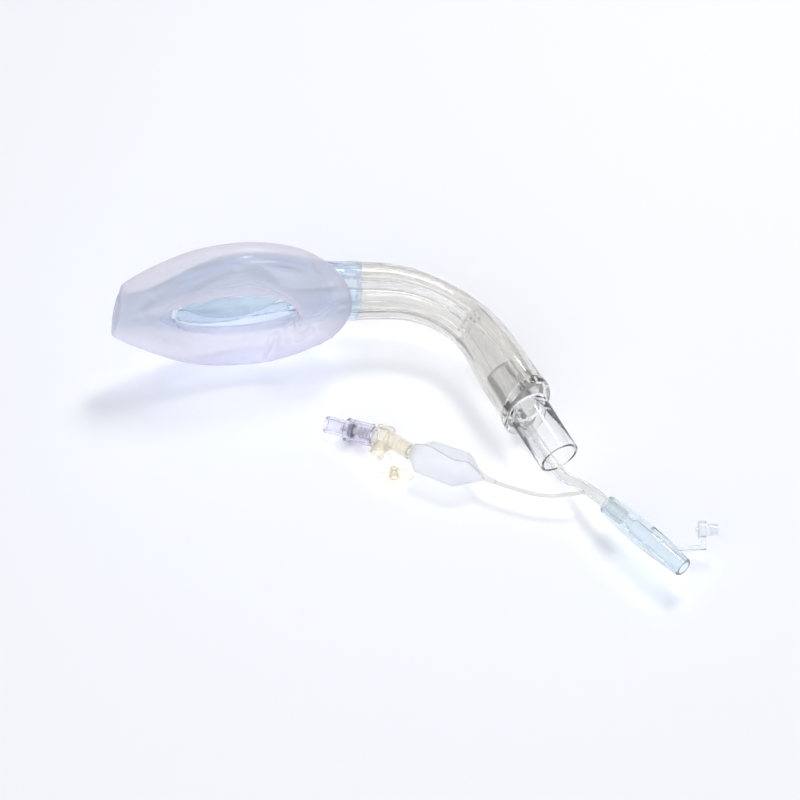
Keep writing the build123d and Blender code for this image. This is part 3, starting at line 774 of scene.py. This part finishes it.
TAB_CENTRE = Vector((-0.0037, -0.0133, 0.0022))
TAB_RING = 0.0060
TAB_RIM = 0.00062
TAB_HALF = (0.0066, 0.0031)
TAB_FULLNESS = 0.8
TAB_SKEW = 0.12


def squared(half, wave):
    """Reach along one half width of the tab, fuller at its corners than an ellipse."""
    return half * abs(wave) ** TAB_FULLNESS * math.copysign(1, wave)


bpy.ops.object.select_all(action="DESELECT")
bpy.ops.mesh.primitive_torus_add(major_segments=72, minor_segments=14, major_radius=TAB_RING,
                                 minor_radius=TAB_RIM)
tab = bpy.context.object
for v in tab.data.vertices:
    turn = math.atan2(v.co.y, v.co.x)
    wide = squared(TAB_HALF[0], math.cos(turn))
    deep = squared(TAB_HALF[1], math.sin(turn))
    inwards = math.hypot(v.co.x, v.co.y) - TAB_RING
    v.co = TAB_CENTRE + Vector((wide + inwards * math.cos(turn),
                                deep + inwards * math.sin(turn) + TAB_SKEW * wide, v.co.z))
web = lathe("vent_web", TAB_CENTRE - Vector((0, 0, 0.0003)), TAB_CENTRE,
            [(0.0012, 0), (0.0028, 0), (0.0028, 0.0006), (0.0012, 0.0006)])
boss = lathe("vent_boss", TAB_CENTRE + Vector((0, 0, 0.0003)), TAB_CENTRE + Vector((0, 0, 1)),
             [(0.0010, 0), (0.0021, 0), (0.0019, 0.0014), (0.0016, 0.0018), (0.0016, 0.0042),
              (0.0013, 0.0046), (0.0008, 0.0046), (0.0008, 0.0006)], 32)
TIE_POINTS = [(-0.0066, -0.0020, 0.0052), (-0.0062, -0.0040, 0.0056), (-0.0052, -0.0072, 0.0066),
              (-0.0040, -0.0110, 0.0068), (-0.0036, -0.0128, 0.0050)]
TIE_RADII = [0.0006, 0.0005, 0.0005, 0.0006, 0.0009]
tie = bead("vent_tie", TIE_POINTS, TIE_RADII)
plug = joined("vent_plug_moulding", [tab, web, boss, tie])
bpy.ops.object.shade_smooth()
plug.data.materials.append(ivory)
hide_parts("vent_plug")
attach(plug, "airway")


# Check valve. Pale lilac clear plastic, injection moulded in two shells welded at the violet
# collar: the open luer socket on the left and the chamber with plunger and spring on the right.

# Lilac-tinted clear plastic, moulded and polished: violet lines where the walls are seen edge on,
# partly its own tint and partly painted shade, with flow marks 2 mm apart.
dress("luer_inlet", clear_plastic("moulded_lilac_clear", "F8F8FC", "A79FDA", "E0E0E4", 0.03, 1.33, 0.06,
                                  "F2F1F8"))
dress("valve_housing", clear_plastic("moulded_lilac_shell", "F8F7FB", "B9B2DE", "E0E0E4", 0.03, 1.30, 0.06,
                                     "F0EFF6"))


# Valve plunger. A thin dark rubber disc on a pale moulded stem: the disc seals the socket and
# the stem guides the spring. Both slide together when a syringe pushes them.

LUER_END = Vector((-0.0291, 0.0103, 0.0037))
disc = lathe("plunger_disc", LUER_END + VALVE_WAY * 0.0099, LUER_END + VALVE_WAY,
             [(0.0003, 0), (0.0024, 0), (0.0026, 0.0002), (0.0026, 0.0013), (0.0024, 0.0015),
              (0.0003, 0.0015)])
# Dark grey rubber, compression moulded: matt and opaque, its skin drawn with 1 mm unevenness;
# it turns darker at its edges, which is painted shade.
disc.data.materials.append(film("moulded_dark_rubber", "4A4A54", "2E2E36", "EEEEEE", 0.45, 1.0, 1.0, 1.0,
                                0.1, 0.0, 1.0))
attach(disc, "plunger")
guide = lathe("plunger_guide", LUER_END + VALVE_WAY * 0.0062, LUER_END + VALVE_WAY,
              [(0.0002, 0), (0.0008, 0), (0.0009, 0.0002), (0.0009, 0.0037), (0.0002, 0.0037)])
cup = lathe("plunger_cup", LUER_END + VALVE_WAY * 0.0115, LUER_END + VALVE_WAY,
            [(0.0004, 0), (0.0014, 0), (0.0012, 0.0006), (0.0011, 0.0030), (0.0010, 0.0034),
             (0.0004, 0.0034)])
piston = joined("plunger_piston", [guide, cup])
# Acetal, injection moulded: milky and waxy, with a soft highlight, and darker at its edges, which
# is painted shade.
piston.data.materials.append(film("moulded_pale_acetal", "D9D4DC", "A9A2B4", "EEEEEE", 0.3, 0.75, 0.95,
                                  1.0, 0.05))
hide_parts("valve_plunger")
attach(piston, "plunger")


# Valve spring. Coiled stainless steel wire that presses the plunger onto its seat; bright where
# it faces the lamp and grey below, seen through the shell.

# Stainless steel, drawn to wire: a bright, broken shine. Its die marks are far finer than the
# picture shows, so they are drawn 0.4 mm apart.
DRAW_MARK_MM = 0.4
steel = new_material("drawn_steel_wire")
tree = steel.node_tree
place = add(tree, "ShaderNodeTexCoord")
cloud = add(tree, "ShaderNodeTexNoise", {"Vector": place.outputs["Object"], "Scale": 1000 / DRAW_MARK_MM})
gloss = add(tree, "ShaderNodeMapRange", {"Value": cloud.outputs[0], "To Min": 0.22, "To Max": 0.42})
wire = add(tree, "ShaderNodeBsdfPrincipled",
           {"Base Color": linear("B9B6BC"), "Metallic": 1.0, "Roughness": gloss.outputs[0]})
add(tree, "ShaderNodeOutputMaterial", {"Surface": wire.outputs[0]})
dress("valve_spring", steel)
